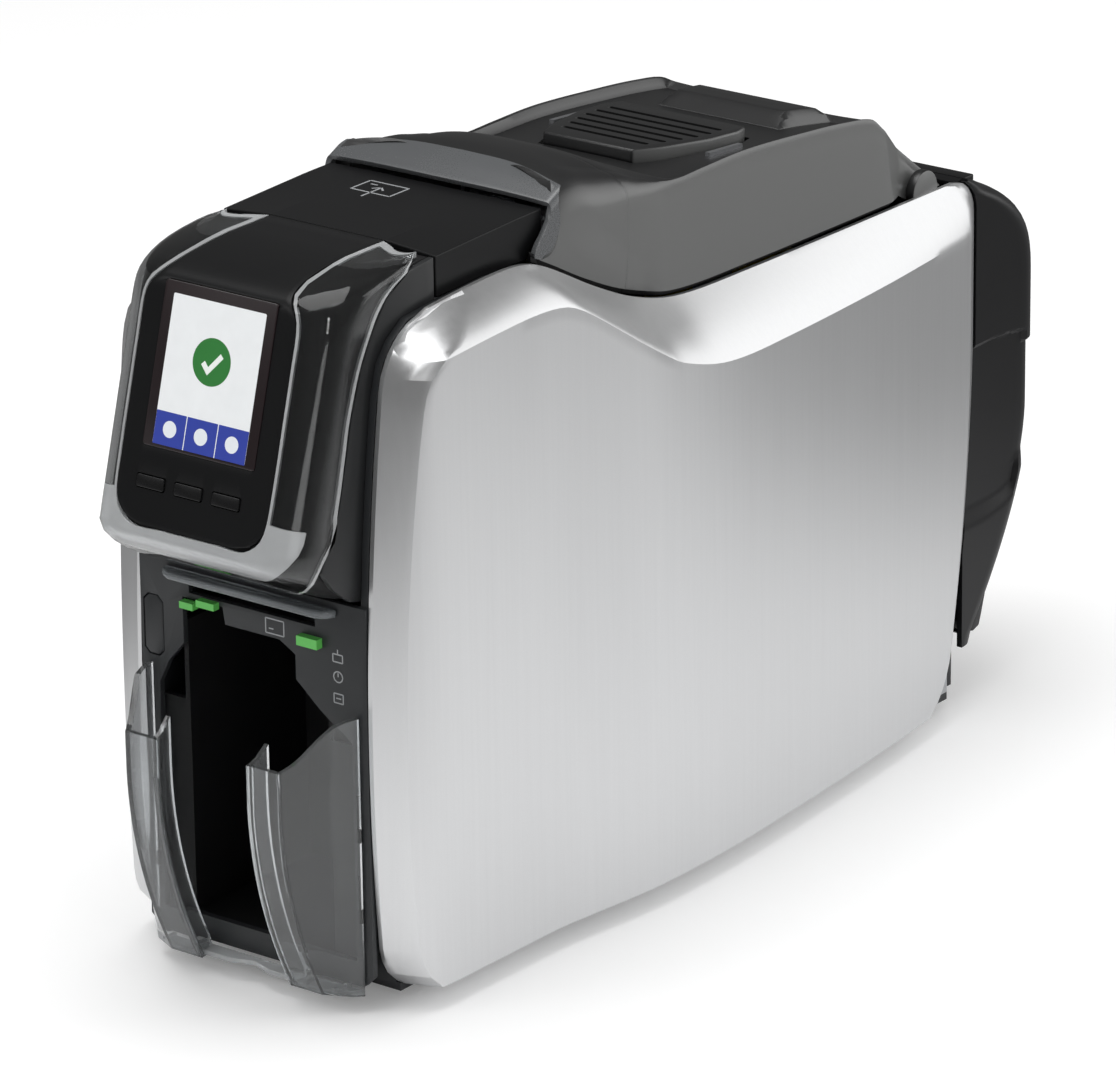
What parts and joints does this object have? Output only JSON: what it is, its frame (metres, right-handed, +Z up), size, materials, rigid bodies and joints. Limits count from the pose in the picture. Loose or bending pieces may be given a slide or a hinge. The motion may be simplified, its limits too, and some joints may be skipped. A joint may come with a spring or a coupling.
{
  "type": "desktop id card printer",
  "caption": "Desktop card printer: silver side panels, tilted screen housing, hinged top cover with release pad, clear output hopper and hinged rear hood.",
  "frame": {"origin": "middle of the base outline, on the table", "axes": "+X to the right, +Y to the rear, +Z up"},
  "size_m": [0.151, 0.444, 0.2735],
  "materials": {
    "black_casing": "fine matt moulded black",
    "feet_rubber": "matt rubber",
    "silver_panel": "satin silver paint on a moulded panel",
    "gloss_black": "gloss black",
    "clear_shell": "clear moulded plastic",
    "slot_lip": "smoky translucent plastic",
    "screen": "lit colour screen",
    "circuit_board": "green laminate",
    "light_guide": "green light guide",
    "button_black": "satin black",
    "cover_black": "satin dark grey to black",
    "collar_grey": "polished dark grey",
    "hood_black": "satin black",
    "plate_steel": "plain sheet steel",
    "pin_steel": "ground steel",
    "roller_rubber": "ground rubber sleeve on a steel shaft",
    "cleaning_rubber": "tacky blue silicone",
    "bush_brass": "sintered bronze and brass",
    "belt_rubber": "black belt",
    "motor_case": "dark coated steel",
    "ribbon_yellow": "dye ribbon wound on a core",
    "ribbon_dark": "used dye ribbon",
    "inlet_black": "black socket"
  },
  "bodies": {
    "frame": {"base_tray": "black_casing", "rubber_feet": "feet_rubber", "chassis_right": "plate_steel", "chassis_left": "plate_steel", "tie_bars": "plate_steel", "side_panel_right": "silver_panel", "side_panel_left": "silver_panel", "front_bezel": "black_casing", "hopper_well": "black_casing", "head_housing": "gloss_black", "head_clear_shell": "clear_shell", "display_glass": "gloss_black", "lcd_panel": "screen", "display_board": "circuit_board", "top_panel": "gloss_black", "slot_lip": "slot_lip", "light_guides": "light_guide", "hinge_pins": "pin_steel", "ribbon_frame": "black_casing", "ribbon_film": "ribbon_dark", "bushes": "bush_brass", "card_rails": "black_casing", "drive_belts": "belt_rubber", "feed_motor": "motor_case", "ribbon_motor": "motor_case", "input_well": "black_casing", "rear_bulkhead": "black_casing", "hood_pins": "pin_steel", "main_board": "circuit_board", "power_inlet": "inlet_black", "usb_port": "plate_steel", "network_port": "plate_steel", "fan_frame": "black_casing", "screws": "pin_steel"},
    "cover": {"top_cover": "cover_black", "cover_collar": "collar_grey", "cover_rear_cap": "cover_black", "print_head_bracket": "plate_steel", "print_head": "black_casing"},
    "release_pad": {"cover_release_pad": "cover_black"},
    "latch": {"latch_hook": "plate_steel"},
    "button_left": {"button_left": "button_black"},
    "button_center": {"button_center": "button_black"},
    "button_right": {"button_right": "button_black"},
    "power_button": {"power_button": "button_black"},
    "output_hopper": {"output_hopper": "clear_shell"},
    "supply_spool": {"ribbon_supply_spool": "ribbon_yellow"},
    "takeup_spool": {"ribbon_takeup_spool": "ribbon_dark"},
    "platen": {"platen_roller": "roller_rubber"},
    "exit_feed": {"exit_roller": "roller_rubber"},
    "entry_feed": {"entry_roller": "roller_rubber"},
    "pick": {"pick_roller": "roller_rubber"},
    "exit_pinch": {"exit_pinch_roller": "pin_steel"},
    "entry_pinch": {"entry_pinch_roller": "pin_steel"},
    "cleaner": {"cleaning_roller": "cleaning_rubber"},
    "feed_pinion": {"motor_pinion": "bush_brass"},
    "ribbon_pinion": {"ribbon_pinion": "bush_brass"},
    "card_weight": {"card_weight": "black_casing"},
    "hood": {"rear_hood": "hood_black"},
    "fan_rotor": {"fan_rotor": "black_casing"}
  },
  "joints": [
    {"name": "cover_hinge", "type": "hinge", "parent": "frame", "child": "cover", "pos_m": [0, 0.145, 0.212], "axis": [-1, 0, 0], "range_deg": [0, 70]},
    {"name": "release_press", "type": "slide", "parent": "cover", "child": "release_pad", "axis": [0, -0.0763, -0.9971], "range_m": [0, 0.002], "stiffness_N_per_m": 900},
    {"name": "latch_pivot", "type": "hinge", "parent": "cover", "child": "latch", "pos_m": [0, -0.035, 0.244], "axis": [1, 0, 0], "range_deg": [0, 12.5]},
    {"name": "button_left_press", "type": "slide", "parent": "frame", "child": "button_left", "axis": [0, 0.9622, -0.2723], "range_m": [0, 0.0008], "stiffness_N_per_m": 300},
    {"name": "button_center_press", "type": "slide", "parent": "frame", "child": "button_center", "axis": [0, 0.9622, -0.2723], "range_m": [0, 0.0008], "stiffness_N_per_m": 300},
    {"name": "button_right_press", "type": "slide", "parent": "frame", "child": "button_right", "axis": [0, 0.9622, -0.2723], "range_m": [0, 0.0008], "stiffness_N_per_m": 300},
    {"name": "power_press", "type": "slide", "parent": "frame", "child": "power_button", "axis": [0, 1, 0], "range_m": [0, 0.0015], "stiffness_N_per_m": 300},
    {"name": "hopper_lift", "type": "slide", "parent": "frame", "child": "output_hopper", "axis": [0, 0, 1], "range_m": [0, 0.012]},
    {"name": "platen_spin", "type": "hinge", "parent": "frame", "child": "platen", "pos_m": [0, 0.039, 0.132], "axis": [1, 0, 0], "continuous": true},
    {"name": "exit_feed_spin", "type": "hinge", "parent": "frame", "child": "exit_feed", "pos_m": [0, -0.067, 0.132], "axis": [1, 0, 0], "continuous": true},
    {"name": "entry_feed_spin", "type": "hinge", "parent": "frame", "child": "entry_feed", "pos_m": [0, 0.113, 0.132], "axis": [1, 0, 0], "continuous": true},
    {"name": "pick_spin", "type": "hinge", "parent": "frame", "child": "pick", "pos_m": [0, 0.153, 0.132], "axis": [1, 0, 0], "continuous": true},
    {"name": "exit_pinch_spin", "type": "hinge", "parent": "frame", "child": "exit_pinch", "pos_m": [0, -0.067, 0.1468], "axis": [1, 0, 0], "continuous": true},
    {"name": "entry_pinch_spin", "type": "hinge", "parent": "frame", "child": "entry_pinch", "pos_m": [0, 0.113, 0.1468], "axis": [1, 0, 0], "continuous": true},
    {"name": "cleaner_spin", "type": "hinge", "parent": "frame", "child": "cleaner", "pos_m": [0, 0.081, 0.1478], "axis": [1, 0, 0], "continuous": true},
    {"name": "feed_pinion_spin", "type": "hinge", "parent": "frame", "child": "feed_pinion", "pos_m": [0, 0.06106, 0.10994], "axis": [1, 0, 0], "continuous": true},
    {"name": "takeup_spin", "type": "hinge", "parent": "frame", "child": "takeup_spool", "pos_m": [0, -0.023, 0.176], "axis": [1, 0, 0], "continuous": true},
    {"name": "supply_spin", "type": "hinge", "parent": "frame", "child": "supply_spool", "pos_m": [0, 0.099, 0.18], "axis": [1, 0, 0], "continuous": true},
    {"name": "ribbon_pinion_spin", "type": "hinge", "parent": "frame", "child": "ribbon_pinion", "pos_m": [0, -0.05495, 0.18638], "axis": [1, 0, 0], "continuous": true},
    {"name": "weight_slide", "type": "slide", "parent": "frame", "child": "card_weight", "axis": [0, 0, 1], "range_m": [0, 0.038]},
    {"name": "hood_hinge", "type": "hinge", "parent": "frame", "child": "hood", "pos_m": [0, 0.177, 0.033], "axis": [-1, 0, 0], "range_deg": [0, 50]},
    {"name": "fan_spin", "type": "hinge", "parent": "frame", "child": "fan_rotor", "pos_m": [0, 0.152, 0.098], "axis": [0, 1, 0], "continuous": true}
  ],
  "couplings": [
    {"joint": "latch_pivot", "follows": "release_press", "rad_per_m": 105},
    {"joint": "exit_feed_spin", "follows": "platen_spin", "ratio": 1},
    {"joint": "entry_feed_spin", "follows": "platen_spin", "ratio": 1},
    {"joint": "pick_spin", "follows": "platen_spin", "ratio": 1},
    {"joint": "exit_pinch_spin", "follows": "platen_spin", "ratio": -1.8},
    {"joint": "entry_pinch_spin", "follows": "platen_spin", "ratio": -1.8},
    {"joint": "cleaner_spin", "follows": "platen_spin", "ratio": -1.5},
    {"joint": "feed_pinion_spin", "follows": "platen_spin", "ratio": -3.3333},
    {"joint": "ribbon_pinion_spin", "follows": "takeup_spin", "ratio": -5},
    {"joint": "supply_spin", "follows": "takeup_spin", "ratio": 0.75}
  ]
}
